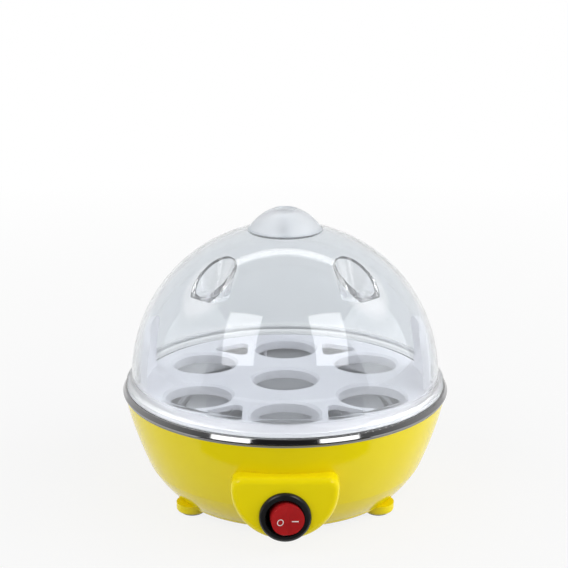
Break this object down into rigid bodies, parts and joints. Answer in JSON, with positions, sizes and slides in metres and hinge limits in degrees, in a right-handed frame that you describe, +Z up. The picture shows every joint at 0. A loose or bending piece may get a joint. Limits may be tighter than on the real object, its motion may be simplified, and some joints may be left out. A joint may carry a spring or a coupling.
{
  "type": "egg cooker",
  "caption": "Electric egg cooker: round yellow base with a steel water pan and rocker switch, a lift-out white egg tray with handles, and a clear domed lid with a knob.",
  "frame": {"origin": "on the table, under the vertical axis of the pan and lid", "axes": "+Z up, -Y towards the switch at the front, +X to the right of someone facing the switch"},
  "size_m": [0.156, 0.1689, 0.1401],
  "materials": {
    "yellow_plastic": "glossy moulded plastic",
    "spun_steel": "spun, ring-brushed",
    "seal_silicone": "soft, matt",
    "foot_rubber": "matt",
    "zinc_steel": "zinc plated",
    "heater_sheath": "dull, heat tinted",
    "cast_aluminium": "as pressed",
    "brass": "bright",
    "black_plastic": "glossy",
    "phenolic": "matt moulded",
    "nylon": "natural",
    "rocker_red": "glossy, slightly translucent",
    "tray_white": "satin moulded plastic",
    "lid_clear": "clear moulded plastic",
    "knob_frost": "frosted clear plastic",
    "fuse_case": "plain",
    "wire_brown": "insulation",
    "wire_white": "heat-proof sleeve",
    "wire_blue": "insulation"
  },
  "bodies": {
    "base": {"base_shell": "yellow_plastic", "bottom_cover": "yellow_plastic", "rubber_feet": "foot_rubber", "cover_screws": "zinc_steel", "water_pan": "spun_steel", "pan_seal": "seal_silicone", "pan_brackets": "zinc_steel", "pan_screws": "zinc_steel", "heat_spreader": "cast_aluminium", "heating_element": "heater_sheath", "element_pins": "brass", "clamp_plate": "zinc_steel", "clamp_stud": "zinc_steel", "clamp_washer": "zinc_steel", "clamp_nut": "zinc_steel", "thermostat_cap": "cast_aluminium", "thermostat_body": "phenolic", "thermostat_tabs": "brass", "thermal_fuse": "fuse_case", "fuse_clip": "nylon", "terminal_block": "nylon", "block_clamps": "brass", "block_screw": "zinc_steel", "cord_gland": "black_plastic", "gland_nut": "black_plastic", "switch_housing": "black_plastic", "switch_tabs": "brass", "wire_live": "wire_brown", "wire_switched": "wire_brown", "wire_heater": "wire_white", "wire_fuse": "wire_white", "wire_neutral": "wire_blue"},
    "rocker": {"rocker": "rocker_red"},
    "tray": {"egg_tray": "tray_white"},
    "lid": {"lid_dome": "lid_clear", "lid_knob": "knob_frost", "knob_screw": "zinc_steel"}
  },
  "joints": [
    {"name": "tray_lift", "type": "slide", "parent": "base", "child": "tray", "axis": [0, 0, 1], "range_m": [0, 0.0217]},
    {"name": "lid_lift", "type": "slide", "parent": "tray", "child": "lid", "axis": [0, 0, 1], "range_m": [0, 0.0615]},
    {"name": "rocker_tilt", "type": "hinge", "parent": "base", "child": "rocker", "pos_m": [0, -0.076, 0.02], "axis": [0, 0, -1], "range_deg": [0, 20]}
  ]
}
